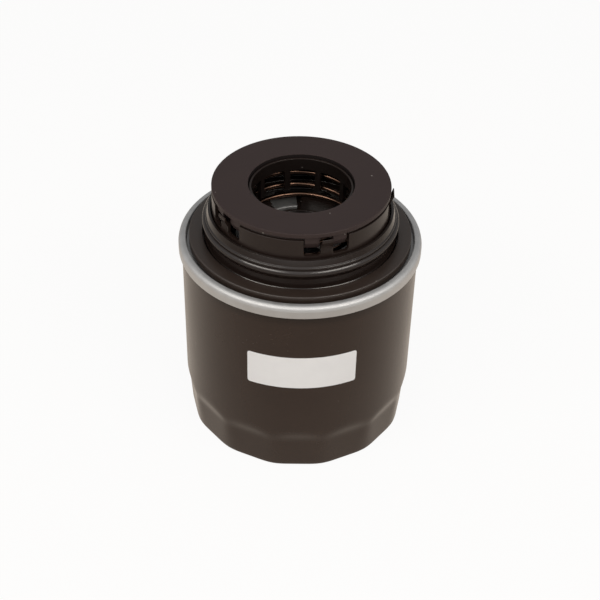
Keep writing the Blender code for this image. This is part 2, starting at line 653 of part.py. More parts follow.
# Upper end cap: a tray turned down, open in the middle for the cleaned oil
upper_top = boss_bottom - FIT_GAP
upper_roof = upper_top - CAP_SHEET
turned("upper_end_cap", [
    (CAP_BORE, upper_top), (element_radius, upper_top), (element_radius, upper_top - CAP_RIM),
    (element_radius - CAP_SHEET, upper_top - CAP_RIM), (element_radius - CAP_SHEET, upper_roof),
    (CAP_BORE, upper_roof)], HIDDEN, cap_steel)

# Centre tube: perforated steel inside the pleats
media_low = lower_floor + FIT_GAP
media_high = upper_roof - FIT_GAP
tube_inner = TUBE_RADIUS - TUBE_WALL
tube = turned("centre_tube", [(tube_inner, media_high), (TUBE_RADIUS, media_high), (TUBE_RADIUS, media_low),
                              (tube_inner, media_low)], TUBE_COLUMNS * 4, tube_steel)
row_step = (media_high - media_low) / TUBE_ROWS
hole_reach = TUBE_WALL * 2
hole_spots = []
for row in range(TUBE_ROWS):
    shift = math.pi / TUBE_COLUMNS * (row % 2)
    for angle in around(TUBE_COLUMNS, shift):
        up = Matrix.Translation((0.0, 0.0, media_low + row_step * (row + 0.5)))
        out = Matrix.Translation((TUBE_RADIUS - TUBE_WALL / 2, 0.0, 0.0))
        hole_spots.append(up @ turn(angle) @ out @ Matrix.Rotation(math.pi / 2, 4, "Y"))
tube_drills = drills("tube_holes", TUBE_HOLE, -hole_reach, hole_reach, hole_spots, 6)
apply_tool(tube, tube_drills, "DIFFERENCE")


# Pleated paper: one strip folded round the tube, its two ends side by side at the back
def thickened(line, half):
    # Both sides of an open line, moved out by half with square corners.
    sides = []
    for sign in (1.0, -1.0):
        moved = []
        for i, here in enumerate(line):
            before = line[max(i - 1, 0)]
            after = line[min(i + 1, len(line) - 1)]
            into = here - before if i > 0 else after - here
            away = after - here if i < len(line) - 1 else here - before
            into = into / np.linalg.norm(into)
            away = away / np.linalg.norm(away)
            bisector = np.array([-(into + away)[1], (into + away)[0]])
            bisector = bisector / np.linalg.norm(bisector)
            square = np.array([-into[1], into[0]])
            moved.append(here + sign * half * bisector / max(MITRE_LIMIT, float(bisector @ square)))
        sides.append(moved)
    return sides[0] + sides[1][::-1]


half_paper = PLEAT_PAPER / 2
pleat_inner = TUBE_RADIUS + FIT_GAP + half_paper
pleat_outer = element_radius - CAP_SHEET - FIT_GAP - half_paper
clip_room = CLIP_SHEET + FIT_GAP
end_outer = pleat_outer - clip_room
seam_room = 4 * PLEAT_PAPER / pleat_inner
pitch = (math.tau - seam_room) / PLEAT_COUNT
fold = []
for i in range(PLEAT_COUNT):
    at = (i + 0.5) * pitch + seam_room / 2 + math.pi / 2
    wide_in = pitch / 2 - PLEAT_FOLD / pleat_inner
    wide_out = PLEAT_FOLD / pleat_outer
    corners = [(pleat_inner, -wide_in), (pleat_outer, -wide_out)]
    corners += [(radius, -aside) for radius, aside in reversed(corners)]
    for radius, aside in corners:
        fold.append(np.array([radius * math.cos(at + aside), radius * math.sin(at + aside)]))
seam_half = PLEAT_PAPER / 2 + FIT_GAP / 2
head = [np.array([-seam_half, end_outer]), np.array([-seam_half, pleat_inner])]
tail = [np.array([seam_half, pleat_inner]), np.array([seam_half, end_outer])]
strip = head + fold + tail
paper = outline_mesh(thickened(strip, half_paper), media_high - media_low)
paper.transform(Matrix.Translation((0.0, 0.0, (media_high + media_low) / 2)))
place("pleated_media", paper, pleat_paper)

# Seam clip: a folded strip over the two ends of the paper
clip_half = seam_half + half_paper + FIT_GAP
clip_top = end_outer + FIT_GAP + CLIP_SHEET
clip_low = clip_top - CLIP_DEPTH
clip_out = clip_half + CLIP_SHEET
clip_roof = clip_top - CLIP_SHEET
clip_points = [(clip_out, clip_low), (clip_out, clip_top), (-clip_out, clip_top), (-clip_out, clip_low),
               (-clip_half, clip_low), (-clip_half, clip_roof), (clip_half, clip_roof),
               (clip_half, clip_low)]
clip = outline_mesh(clip_points, media_high - media_low)
clip.transform(Matrix.Translation((0.0, 0.0, (media_high + media_low) / 2)))
place("pleat_seam_clip", clip, clip_steel)

# Anti-drain valve: a rubber cone whose lip lies against the plate outside the inlet holes
valve_bore = boss_radius + FIT_GAP
valve_low = upper_top + FIT_GAP
valve_lip = INLET_CIRCLE + VALVE_REACH
lip_top = plate_bottom - FIT_GAP
skirt_low = lip_top - BOSS_DEPTH / 2
turned("anti_drain_valve", [
    (valve_bore, lip_top), (valve_bore + VALVE_COLLAR / 2, lip_top),
    (valve_bore + VALVE_COLLAR, skirt_low + VALVE_SKIRT),
    (valve_lip - VALVE_COLLAR, lip_top - VALVE_SKIRT / 2), (valve_lip, lip_top),
    (valve_lip + VALVE_SKIRT, lip_top - VALVE_SKIRT / 2),
    (valve_lip - VALVE_COLLAR / 2, lip_top - VALVE_SKIRT * 1.5), (valve_bore + VALVE_COLLAR, skirt_low),
    (valve_bore + VALVE_COLLAR, valve_low), (valve_bore, valve_low)], HIDDEN, valve_rubber)

# Bypass valve: seal and poppet on the port, spring above, all held by a cage on the lower cap
lift = empty("bypass_lift", lower_floor)
seal_low = lower_floor + FIT_GAP
seal_top = seal_low + SEAL_THICKNESS
seal_radius = BYPASS_PORT + BYPASS_SEAT
turned("bypass_seal", [(0.0, seal_top), (seal_radius, seal_top), (seal_radius, seal_low), (0.0, seal_low)],
       SMALL, o_ring_rubber, lift)
poppet_low = seal_top + FIT_GAP
poppet_top = poppet_low + POPPET_THICKNESS
turned("bypass_poppet", [
    (0.0, poppet_top + STEM_LENGTH), (STEM_RADIUS / 2, poppet_top + STEM_LENGTH),
    (STEM_RADIUS, poppet_top + STEM_LENGTH - STEM_RADIUS / 2), (STEM_RADIUS, poppet_top),
    (seal_radius, poppet_top), (seal_radius, poppet_low), (0.0, poppet_low)], SMALL, bypass_steel, lift)
cage_inner = seal_radius + CAGE_GAP
cage_outer = cage_inner + CAGE_SHEET
cage_roof = poppet_top + 2 * FIT_GAP + BYPASS_LENGTH
cage = turned("bypass_cage", [
    (STEM_RADIUS + CAGE_GAP, cage_roof + CAGE_SHEET), (cage_outer, cage_roof + CAGE_SHEET),
    (cage_outer, seal_low + CAGE_SHEET), (cage_outer + CAGE_FLANGE, seal_low + CAGE_SHEET),
    (cage_outer + CAGE_FLANGE, seal_low), (cage_inner, seal_low), (cage_inner, cage_roof),
    (STEM_RADIUS + CAGE_GAP, cage_roof)], SMALL, bypass_steel)
cage_sector = sector(cage_inner - CAGE_GAP / 2, cage_outer + CAGE_GAP / 2,
                     math.pi / CAGE_WINDOWS * CAGE_WINDOW_TURN)
cage_window = outline_mesh(cage_sector, (cage_roof - seal_low) * CAGE_WINDOW_RISE)
apply_tool(cage, copies("cage_windows", cage_window,
                        flat_spots(around(CAGE_WINDOWS), (cage_roof + seal_low) / 2)), "DIFFERENCE")
coil("bypass_spring", BYPASS_COIL, BYPASS_WIRE, poppet_top + FIT_GAP + BYPASS_WIRE,
     cage_roof - FIT_GAP - BYPASS_WIRE, BYPASS_TURNS, 0.0, 9, bypass_steel)
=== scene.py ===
import math
import bmesh
import bpy
from mathutils import Matrix, Vector


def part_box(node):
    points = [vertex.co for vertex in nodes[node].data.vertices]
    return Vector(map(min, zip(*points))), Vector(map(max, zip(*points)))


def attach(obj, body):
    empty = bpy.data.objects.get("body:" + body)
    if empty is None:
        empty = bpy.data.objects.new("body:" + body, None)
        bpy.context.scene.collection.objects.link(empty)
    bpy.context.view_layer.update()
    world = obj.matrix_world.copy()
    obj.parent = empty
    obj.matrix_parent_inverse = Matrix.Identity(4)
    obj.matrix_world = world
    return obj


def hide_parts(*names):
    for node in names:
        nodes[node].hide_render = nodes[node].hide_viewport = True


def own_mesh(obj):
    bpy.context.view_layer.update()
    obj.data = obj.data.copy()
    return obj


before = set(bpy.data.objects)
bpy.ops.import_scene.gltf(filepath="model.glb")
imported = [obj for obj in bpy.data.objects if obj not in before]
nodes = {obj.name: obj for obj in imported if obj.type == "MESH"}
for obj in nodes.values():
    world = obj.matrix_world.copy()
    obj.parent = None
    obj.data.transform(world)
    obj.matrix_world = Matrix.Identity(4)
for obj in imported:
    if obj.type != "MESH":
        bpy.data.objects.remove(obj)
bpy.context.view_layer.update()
scene = bpy.context.scene
mm = 0.001
crisp, small, soft, full = 0.1 * mm, 0.15 * mm, 0.2 * mm, 0.4 * mm  # usual edge roundings
past = 1 * mm  # how far a cutting tool reaches past a surface
hair = 0.001 * mm  # keeps a cut off the face below it
mostReach = 0.48  # share of a side that one rounding may take
onAxis = 1e-7  # closer to the axis, a row of points is one point
sharpAngle = math.radians(30)  # edges that turn more than this stay sharp
print("frame loaded:", len(nodes), "nodes")


class Wire:  # one socket, with the sums that the trees below use
    def __init__(self, graph, socket):
        self.graph = graph
        self.socket = socket

    def calc(self, operation, *values):
        return self.graph.add("ShaderNodeMath", {"operation": operation}, dict(enumerate(values)))

    def __add__(self, other):
        return self.calc("ADD", self, other)

    def __radd__(self, other):
        return self.calc("ADD", other, self)

    def __sub__(self, other):
        return self.calc("SUBTRACT", self, other)

    def __rsub__(self, other):
        return self.calc("SUBTRACT", other, self)

    def __mul__(self, other):
        return self.calc("MULTIPLY", self, other)

    def __rmul__(self, other):
        return self.calc("MULTIPLY", other, self)

    def __truediv__(self, other):
        return self.calc("DIVIDE", self, other)

    def __rtruediv__(self, other):
        return self.calc("DIVIDE", other, self)

    def __abs__(self):
        return self.calc("ABSOLUTE", self)

    def out(self, name):  # another output of the same node
        return Wire(self.graph, self.socket.node.outputs[name])


class Graph:  # a node tree that is filled one node at a time
    def __init__(self, tree):
        self.tree = tree

    def add(self, kind, settings=None, sockets=None, out=0):
        node = self.tree.nodes.new(kind)
        for name, value in (settings or {}).items():
            setattr(node, name, value)
        for name, value in (sockets or {}).items():
            if isinstance(value, Wire):
                self.tree.links.new(value.socket, node.inputs[name])
            else:
                node.inputs[name].default_value = value
        return Wire(self, node.outputs[out]) if len(node.outputs) else None


def rounded(corners, steps=6):  # a closed outline of (radius, height, fillet)
    line = []
    for i, (r, z, fillet) in enumerate(corners):
        here = Vector((r, z))
        before = Vector(corners[i - 1][:2]) - here
        after = Vector(corners[(i + 1) % len(corners)][:2]) - here
        if fillet <= 0:
            line.append(here)
            continue
        half = before.angle(after) / 2
        reach = min(fillet / math.tan(half), mostReach * before.length, mostReach * after.length)
        size = reach * math.tan(half)
        first = here + before.normalized() * reach
        last = here + after.normalized() * reach
        middle = (before.normalized() + after.normalized()).normalized()
        centre = here + middle * (size / math.sin(half))
        start, end = first - centre, last - centre
        turn = start.angle_signed(end)
        for k in range(steps + 1):
            a = -turn * k / steps
            line.append(centre + Vector((start.x * math.cos(a) - start.y * math.sin(a),
                                         start.x * math.sin(a) + start.y * math.cos(a))))
    return line


def divided(line, step):  # long stretches of an outline split evenly
    split = []
    for here, there in zip(line, line[1:] + line[:1]):
        parts = max(1, int((there - here).length / step))
        split += [here.lerp(there, k / parts) for k in range(parts)]
    return split


def smoothed(mesh):
    mesh.shade_smooth()
    mesh.set_sharp_from_angle(angle=sharpAngle)


def plainObject(name, mesh):
    made = bpy.data.objects.new(name, mesh)
    scene.collection.objects.link(made)
    smoothed(mesh)
    return made


def fromBmesh(name, build):
    bmesh.ops.recalc_face_normals(build, faces=build.faces)
    mesh = bpy.data.meshes.new(name)
    build.to_mesh(mesh)
    build.free()
    return plainObject(name, mesh)


def lathe(name, corners, segments, step=0.0):  # an outline turned round the axis
    line = rounded(corners)
    if step:
        line = divided(line, step)
    build = bmesh.new()
    rows = []
    for r, z in line:
        count = segments if r > onAxis else 1
        angles = [math.tau * i / segments for i in range(count)]
        rows.append([build.verts.new((r * math.cos(a), r * math.sin(a), z)) for a in angles])
    for one, two in zip(rows, rows[1:] + rows[:1]):
        if len(one) == 1 and len(two) == 1:
            continue
        for i in range(segments):
            j = (i + 1) % segments
            ring = [one[i % len(one)], one[j % len(one)], two[j % len(two)], two[i % len(two)]]
            build.faces.new(list(dict.fromkeys(ring)))
    return fromBmesh(name, build)


def prism(name, outline, low, high, spot=None):  # an outline in plan, raised from low to high
    build = bmesh.new()
    floor = [build.verts.new((u, v, low)) for u, v in outline]
    roof = [build.verts.new((u, v, high)) for u, v in outline]
    build.faces.new(floor)
    build.faces.new(roof)
    for i in range(len(outline)):
        j = (i + 1) % len(outline)
        build.faces.new((floor[i], floor[j], roof[j], roof[i]))
    if spot is not None:
        build.transform(spot)
    return fromBmesh(name, build)


# upright takes an outline of radius and height, thick along the tangent
# facing takes an outline of tangent and height, thick outwards
upright = Matrix.Rotation(math.pi / 2, 4, "X")
facing = Matrix(((0, 0, 1, 0), (1, 0, 0, 0), (0, 1, 0, 0), (0, 0, 0, 1)))


def sector(inner, outer, halfAngle, steps):
    sweep = [halfAngle * (2 * k / steps - 1) for k in range(steps + 1)]
    far = [(outer * math.cos(a), outer * math.sin(a)) for a in sweep]
    near = [(inner * math.cos(a), inner * math.sin(a)) for a in reversed(sweep)]
    return far + near


def settled(made):  # the evaluated object as one plain mesh, its modifiers gone
    bpy.context.view_layer.update()
    shown = made.evaluated_get(bpy.context.evaluated_depsgraph_get())
    mesh = bpy.data.meshes.new_from_object(shown)
    made.modifiers.clear()
    old = made.data
    made.data = mesh
    bpy.data.meshes.remove(old)
    mesh.name = made.name
    return made


def worked(piece, tool, operation):  # the tool is used up
    step = piece.modifiers.new("work", "BOOLEAN")
    step.operation = operation
    step.solver = "EXACT"
    step.object = tool
    settled(piece)
    bpy.data.objects.remove(tool, do_unlink=True)
    smoothed(piece.data)
    return piece


def newTree(name, inputs):
    tree = bpy.data.node_groups.new(name, "GeometryNodeTree")
    tree.interface.new_socket(name="Geometry", in_out="INPUT", socket_type="NodeSocketGeometry")
    for label, kind in inputs.items():
        tree.interface.new_socket(name=label, in_out="INPUT", socket_type="NodeSocket" + kind)
    tree.interface.new_socket(name="Finish", in_out="INPUT", socket_type="NodeSocketMaterial")
    tree.interface.new_socket(name="Geometry", in_out="OUTPUT", socket_type="NodeSocketGeometry")
    graph = Graph(tree)
    entry = tree.nodes.new("NodeGroupInput")
    return graph, {socket.name: Wire(graph, socket) for socket in entry.outputs if socket.name}


def closeTree(graph, given, geometry):
    whole = graph.add("GeometryNodeRealizeInstances", sockets={"Geometry": geometry})
    dressed = graph.add("GeometryNodeSetMaterial",
                        sockets={"Geometry": whole, "Material": given["Finish"]})
    graph.add("NodeGroupOutput", sockets={"Geometry": dressed})
    return graph.tree


def grown(name, tree, values, base=None):  # the tree's result as a plain mesh
    made = base or plainObject(name, bpy.data.meshes.new(name))
    step = made.modifiers.new("grow", "NODES")
    step.node_group = tree
    for item in tree.interface.items_tree:
        if item.in_out == "INPUT" and item.name in values:
            step[item.identifier] = values[item.name]
    settled(made)
    smoothed(made.data)
    return made


def ringTree():  # copies of one piece round the axis, single or in pairs
    graph, given = newTree("ringOfCopies", {"Piece": "Object", "Count": "Int", "Pair": "Int",
                                            "Step": "Float", "Spread": "Float", "Phase": "Float"})
    index = graph.add("GeometryNodeInputIndex")
    group = index.calc("FLOOR", index / given["Pair"])
    within = index - group * given["Pair"]
    aside = (within - (given["Pair"] - 1) / 2) * given["Spread"]
    angle = given["Phase"] + group * given["Step"] + aside
    turn = graph.add("FunctionNodeEulerToRotation",
                     sockets={0: graph.add("ShaderNodeCombineXYZ", sockets={"Z": angle})})
    spots = graph.add("GeometryNodePoints", sockets={"Count": given["Count"]})
    seed = graph.add("GeometryNodeObjectInfo", {"transform_space": "ORIGINAL"},
                     {"Object": given["Piece"]}, out="Geometry")
    copies = graph.add("GeometryNodeInstanceOnPoints",
                       sockets={"Points": spots, "Instance": seed, "Rotation": turn})
    return closeTree(graph, given, copies)


def coilTree():  # a wire wound round the axis, with flat end turns
    graph, given = newTree("woundWire", {
        "Radius": "Float", "Wire": "Float", "Low": "Float", "High": "Float", "Turns": "Float",
        "Start": "Float", "Flat": "Float", "Soft": "Float", "Sides": "Int", "Steps": "Int"})
    line = graph.add("GeometryNodeCurveSpiral", sockets={
        "Resolution": given["Steps"], "Rotations": given["Turns"], "Start Radius": given["Radius"],
        "End Radius": given["Radius"], "Height": 0.0})
    along = graph.add("GeometryNodeSplineParameter", out="Factor")
    flat = given["Flat"] / given["Turns"]
    rise = (along - flat) / (1 - 2 * flat)
    rise = rise.calc("SMOOTH_MAX", rise, 0.0, given["Soft"])
    rise = rise.calc("SMOOTH_MIN", rise, 1.0, given["Soft"])
    angle = given["Start"] - math.pi / 2 + along * given["Turns"] * math.tau
    place = graph.add("ShaderNodeCombineXYZ", sockets={
        "X": given["Radius"] * angle.calc("COSINE", angle),
        "Y": given["Radius"] * angle.calc("SINE", angle),
        "Z": given["Low"] + rise * (given["High"] - given["Low"])})
    wound = graph.add("GeometryNodeSetPosition", sockets={"Geometry": line, "Position": place})
    section = graph.add("GeometryNodeCurvePrimitiveCircle",
                        sockets={"Resolution": given["Sides"], "Radius": given["Wire"]})
    body = graph.add("GeometryNodeCurveToMesh",
                     sockets={"Curve": wound, "Profile Curve": section, "Fill Caps": True})
    return closeTree(graph, given, body)


def flatsTree():  # presses wrench flats into the foot of a round can
    graph, given = newTree("wrenchFlats", {
        "Radius": "Float", "Depth": "Float", "Height": "Float", "Lean": "Float", "Runout": "Float",
        "Count": "Float", "Turn": "Float", "Soft": "Float", "Ease": "Float", "Inside": "Float"})
    spot = graph.add("GeometryNodeInputPosition")
    x = graph.add("ShaderNodeSeparateXYZ", sockets={0: spot}, out="X")
    y, z = x.out("Y"), x.out("Z")
    reach = x.calc("SQRT", x * x + y * y)
    pitch = math.tau / given["Count"]
    angle = x.calc("ARCTAN2", y, x) - given["Turn"] + math.pi / 2
    across = abs(angle - pitch * angle.calc("ROUND", angle / pitch))
    above = z.calc("SMOOTH_MAX", z - given["Height"], 0.0, given["Soft"] * 2)
    below = z.calc("MAXIMUM", given["Height"] - z, 0.0)
    flat = given["Radius"] - given["Depth"] + above * given["Runout"] - below * given["Lean"]
    here = flat / across.calc("COSINE", across)
    beside = flat / across.calc("COSINE", pitch - across)
    rib = given["Soft"] + below * given["Ease"]  # ribs are rounder towards the foot
    limit = here.calc("SMOOTH_MIN", here, beside, rib)
    pressed = limit.calc("SMOOTH_MIN", limit, given["Radius"], given["Soft"]) - given["Radius"]
    share = (reach - given["Inside"]) / (given["Radius"] - given["Inside"])
    share = share.calc("MINIMUM", share.calc("MAXIMUM", share * 2, 0.0), 1.0)
    scale = 1 + pressed * share / share.calc("MAXIMUM", reach, mm)
    place = graph.add("ShaderNodeCombineXYZ", sockets={"X": x * scale, "Y": y * scale, "Z": z})
    return closeTree(graph, given, graph.add(
        "GeometryNodeSetPosition", sockets={"Geometry": given["Geometry"], "Position": place}))


rings, coils, flats = ringTree(), coilTree(), flatsTree()
print("geometry trees ready")


def ringOf(seed, count, phase, pair=1, spread=0.0):  # degrees from the front, positive to the right
    made = grown(seed.name + "Ring", rings, {
        "Piece": seed, "Count": count * pair, "Pair": pair, "Step": math.tau / count,
        "Spread": math.radians(spread), "Phase": math.radians(phase - 90)})
    bpy.data.objects.remove(seed, do_unlink=True)
    return made


def finish(name, **fixed):  # a new material; its Principled sockets take numbers that stay the same
    made = bpy.data.materials.new(name)
    made.use_nodes = True
    graph = Graph(made.node_tree)
    shader = made.node_tree.nodes["Principled BSDF"]
    for socket, value in fixed.items():
        shader.inputs[socket.replace("_", " ")].default_value = value
    return made, graph, shader


def feed(graph, shader, **wires):  # links to the Principled sockets
    for socket, wire in wires.items():
        graph.tree.links.new(wire.socket, shader.inputs[socket.replace("_", " ")])


def blend(graph, share, one, two):
    return graph.add("ShaderNodeMix", {"data_type": "RGBA"}, {0: share, 6: one, 7: two}, out=2)


def noise(graph, place, size, detail=2.0, rough=0.5):
    return graph.add("ShaderNodeTexNoise", sockets={"Vector": place, "Scale": 1 / size,
                                                    "Detail": detail, "Roughness": rough})


def swing(wire, amount):  # a share from 0 to 1 as a change that is nothing at its middle
    return (wire - 0.5) * amount


def bump(graph, height, strength, depth):
    return graph.add("ShaderNodeBump", sockets={"Height": height, "Strength": strength,
                                                "Distance": depth})


def mapped(graph, value, ends, results, **settings):
    return graph.add("ShaderNodeMapRange", settings,
                     {0: value, 1: ends[0], 2: ends[1], 3: results[0], 4: results[1]})


def objectPlace(graph):
    return graph.add("ShaderNodeTexCoord", out="Object")


def roundPlace(graph):  # the place, the angle from the front, the reach from the axis, the height
    place = objectPlace(graph)
    x = graph.add("ShaderNodeSeparateXYZ", sockets={0: place}, out="X")
    y, z = x.out("Y"), x.out("Z")
    reach = x.calc("SQRT", x * x + y * y)
    angle = x.calc("ARCTAN2", x, 0 - y)
    return place, angle, reach, z


def specks(graph, place, size, share, core=0.12):  # sparse pale dust: the middles of a few cells
    cells = graph.add("ShaderNodeTexVoronoi", sockets={"Vector": place, "Scale": 1 / size},
                      out="Distance")
    pick = graph.add("ShaderNodeSeparateColor", sockets={0: cells.out("Color")}, out=0)
    near = cells.calc("LESS_THAN", cells, core)
    return near * pick.calc("LESS_THAN", pick, share)


plasticLook = {"cloud": 9 * mm, "cloudGloss": 0.10, "grainGloss": 0.12, "depth": 0.05 * mm,
               "dust": 2.2 * mm, "dustShare": 0.04, "dustCover": 0.6,
               # holeShadeReach and holeShadeTone set the reach and tone of the painted shade in the hole
               "dustTone": (0.42, 0.40, 0.37, 1), "holeShadeReach": 17.4 * mm,
               "holeShadeTone": (0.002, 0.002, 0.002, 1)}


def plastic(name, colour, pale, rough, grain, relief, specular, holeShade=0.0, below=0.0):
    s = plasticLook
    made, graph, shader = finish(name, Specular_IOR_Level=specular)
    place, _, reach, z = roundPlace(graph)
    cloud = noise(graph, place, s["cloud"], 3)
    moulded = noise(graph, place, grain)
    dust = specks(graph, place, s["dust"], s["dustShare"])
    tone = blend(graph, cloud, (*colour, 1), (*pale, 1))
    tone = blend(graph, dust * s["dustCover"], tone, s["dustTone"])
    if holeShade:  # painted shade: darkens the walls of the hole, under the height given
        holeShaded = reach.calc("LESS_THAN", reach, s["holeShadeReach"]) * z.calc("LESS_THAN", z, below)
        tone = blend(graph, holeShaded * holeShade, tone, s["holeShadeTone"])
    feed(graph, shader, Base_Color=tone,
         Roughness=rough + swing(cloud, s["cloudGloss"]) + swing(moulded, s["grainGloss"]),
         Normal=bump(graph, moulded, relief, s["depth"]))
    return made


rubberLook = {"cloud": 7 * mm, "cloudGloss": 0.15, "grain": 0.35 * mm, "relief": 0.2,
              "depth": 0.04 * mm, "dust": 1.8 * mm, "dustShare": 0.05, "dustCover": 0.5,
              "dustTone": (0.30, 0.29, 0.27, 1)}


def rubber(name, colour, pale, rough, specular=0.4):
    s = rubberLook
    made, graph, shader = finish(name, Specular_IOR_Level=specular)
    place = objectPlace(graph)
    cloud = noise(graph, place, s["cloud"], 3)
    grain = noise(graph, place, s["grain"])
    dust = specks(graph, place, s["dust"], s["dustShare"])
    tone = blend(graph, cloud, (*colour, 1), (*pale, 1))
    tone = blend(graph, dust * s["dustCover"], tone, s["dustTone"])
    feed(graph, shader, Base_Color=tone, Roughness=rough + swing(cloud, s["cloudGloss"]),
         Normal=bump(graph, grain, s["relief"], s["depth"]))
    return made


metalLook = {"cloud": 3.5 * mm, "cloudGloss": 0.22, "streak": 0.16 * mm, "streakTurn": 4,
             "streakGloss": 0.10, "depth": 0.05 * mm, "innerShadeReach": 25 * mm, "innerShadeCover": 0.5,
             "innerShadeTone": (0.06, 0.06, 0.06, 1)}


def metal(name, colour, dull, rough, lines, inner=0.0):  # inner dulls what lies near the axis and darkens its colour there, a painted shade inside the neck
    s = metalLook
    made, graph, shader = finish(name, Metallic=1.0)
    place, angle, reach, z = roundPlace(graph)
    around = graph.add("ShaderNodeCombineXYZ",
                       sockets={"X": angle * s["streakTurn"] * mm, "Y": reach, "Z": z})
    streak = noise(graph, around, s["streak"])
    cloud = noise(graph, place, s["cloud"], 4, 0.6)
    tone = blend(graph, cloud, (*dull, 1), (*colour, 1))
    grit = rough + swing(cloud, s["cloudGloss"]) + swing(streak, s["streakGloss"])
    if inner:
        near = reach.calc("LESS_THAN", reach, s["innerShadeReach"])
        grit = grit + near * inner
        # painted shade: the colour near the axis is blended towards dark grey
        tone = blend(graph, near * s["innerShadeCover"], tone, s["innerShadeTone"])
    feed(graph, shader, Base_Color=tone, Roughness=grit,
         Normal=bump(graph, streak, lines, s["depth"]))
    return made


paintLook = {"deep": (0.022, 0.0120, 0.0085, 1), "pale": (0.029, 0.0165, 0.0115, 1), "rough": 0.25,
             "specular": 0.38, "cloud": 14 * mm, "cloudGloss": 0.08, "peel": 1.1 * mm,
             "peelGloss": 0.06, "relief": 0.10, "depth": 0.05 * mm, "dust": 3.0 * mm,
             "dustShare": 0.03, "dustCover": 0.35, "dustTone": (0.30, 0.27, 0.25, 1),
             # heights, share and tone of the painted shade under the seam
             "seamShadeHeights": (61.0 * mm, 65.0 * mm), "seamShadeCover": 0.8, "seamShadeTone": (0.006, 0.003, 0.002, 1)}


def canPaint(s):
    made, graph, shader = finish("satinCanPaint", Specular_IOR_Level=s["specular"])
    place, _, _, z = roundPlace(graph)
    cloud = noise(graph, place, s["cloud"], 3)
    peel = noise(graph, place, s["peel"])
    dust = specks(graph, place, s["dust"], s["dustShare"])
    seamShade = mapped(graph, z, s["seamShadeHeights"], (0.0, 1.0))  # painted shade: darker just under the seam, where its shadow falls
    tone = blend(graph, cloud, s["deep"], s["pale"])
    tone = blend(graph, seamShade * s["seamShadeCover"], tone, s["seamShadeTone"])
    tone = blend(graph, dust * s["dustCover"], tone, s["dustTone"])
    feed(graph, shader, Base_Color=tone,
         Roughness=s["rough"] + swing(cloud, s["cloudGloss"]) + swing(peel, s["peelGloss"]),
         Normal=bump(graph, peel, s["relief"], s["depth"]))
    return made


whiteLook = {"deep": (0.735, 0.75, 0.785, 1), "pale": (0.795, 0.81, 0.845, 1), "rough": 0.5,
             "specular": 0.35, "cloud": 4 * mm, "cloudGloss": 0.1, "grain": 0.3 * mm,
             "relief": 0.1, "depth": 0.03 * mm}


def printedWhite(s):
    made, graph, shader = finish("printedWhite", Specular_IOR_Level=s["specular"])
    place = objectPlace(graph)
    cloud = noise(graph, place, s["cloud"], 3)
    grain = noise(graph, place, s["grain"])
    feed(graph, shader, Base_Color=blend(graph, cloud, s["deep"], s["pale"]),
         Roughness=s["rough"] + swing(cloud, s["cloudGloss"]),
         Normal=bump(graph, grain, s["relief"], s["depth"]))
    return made


paperLook = {"deep": (0.46, 0.33, 0.17, 1), "pale": (0.66, 0.53, 0.33, 1), "rough": 0.8,
             "specular": 0.2, "fibre": 0.5 * mm, "fibreGloss": 0.2, "relief": 0.4,
             "depth": 0.1 * mm}


def paperFinish(s):
    made, graph, shader = finish("filterPaper", Specular_IOR_Level=s["specular"])
    fibre = noise(graph, objectPlace(graph), s["fibre"], 4, 0.7)
    feed(graph, shader, Base_Color=blend(graph, fibre, s["deep"], s["pale"]),
         Roughness=s["rough"] + swing(fibre, s["fibreGloss"]),
         Normal=bump(graph, fibre, s["relief"], s["depth"]))
    return made


paint = canPaint(paintLook)
zinc = metal("zincPlatedSteel", colour=(0.62, 0.62, 0.62), dull=(0.53, 0.53, 0.53), rough=0.60,
             lines=0.05, inner=0.05)
plateSteel = metal("oiledPlateSteel", colour=(0.30, 0.29, 0.28), dull=(0.20, 0.195, 0.19),
                   rough=0.42, lines=0.25)
sheetSteel = metal("tinnedSheetSteel", colour=(0.58, 0.58, 0.58), dull=(0.44, 0.44, 0.44),
                   rough=0.38, lines=0.08)
leafSteel = metal("bluedLeafSteel", colour=(0.30, 0.31, 0.34), dull=(0.20, 0.21, 0.23),
                  rough=0.36, lines=0.08)
bronzeWire = metal("bronzedSpringWire", colour=(0.15, 0.088, 0.062), dull=(0.09, 0.052, 0.037),
                   rough=0.24, lines=0.05)
collarPlastic = plastic("collarNylon", colour=(0.0140, 0.0090, 0.0075), pale=(0.0190, 0.0130, 0.0110),
                        rough=0.20, grain=0.8 * mm, relief=0.02, specular=0.50)
sleevePlastic = plastic("sleeveNylon", colour=(0.0160, 0.0098, 0.0080), pale=(0.0210, 0.0134, 0.0110),
                        rough=0.34, grain=0.4 * mm, relief=0.08, specular=0.34, holeShade=0.6,
                        below=86.9 * mm)
ringPlastic = plastic("sealRingNylon", colour=(0.0360, 0.0245, 0.0240), pale=(0.0420, 0.0290, 0.0280),
                      rough=0.52, grain=0.3 * mm, relief=0.10, specular=0.20, holeShade=0.7,
                      below=88.05 * mm)
gasketRubber = rubber("gasketRubber", colour=(0.0215, 0.0130, 0.0088), pale=(0.0290, 0.0180, 0.0130),
                      rough=0.42, specular=0.7)
oRingRubber = rubber("oRingRubber", colour=(0.0110, 0.0105, 0.0105), pale=(0.0160, 0.0150, 0.0150),
                     rough=0.5)
valveRubber = rubber("valveRubber", colour=(0.20, 0.035, 0.022), pale=(0.27, 0.055, 0.035),
                     rough=0.55)
filterPaper = paperFinish(paperLook)
panelWhite = printedWhite(whiteLook)
print("finishes ready")

